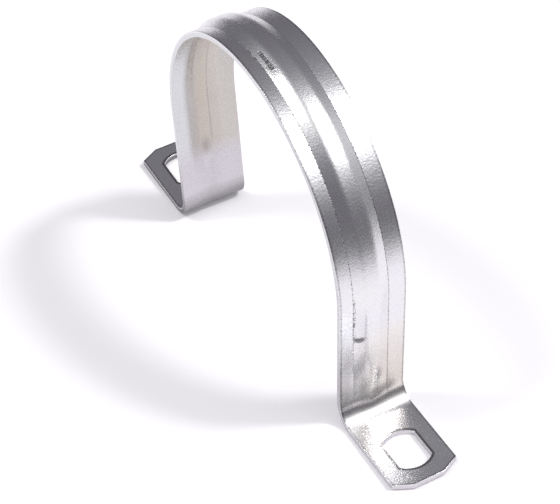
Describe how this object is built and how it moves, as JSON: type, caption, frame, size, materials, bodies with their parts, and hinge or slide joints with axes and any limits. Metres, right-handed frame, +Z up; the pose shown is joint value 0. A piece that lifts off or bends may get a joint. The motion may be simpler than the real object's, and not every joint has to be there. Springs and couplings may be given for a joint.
{
  "type": "conduit strap",
  "caption": "Arched sheet-steel strap with a pressed rib and two flat slotted feet, for holding a round conduit down on a flat surface.",
  "frame": {"origin": "on the mounting surface, under the middle of the arch, midway between the two holes", "axes": "+X from hole to hole, +Y along the conduit, +Z up from the mounting surface"},
  "size_m": [0.1474, 0.019, 0.0911],
  "materials": {
    "zinc_steel": "bright zinc plate, lightly grained"
  },
  "bodies": {
    "root": {"strap": "zinc_steel"}
  },
  "joints": []
}
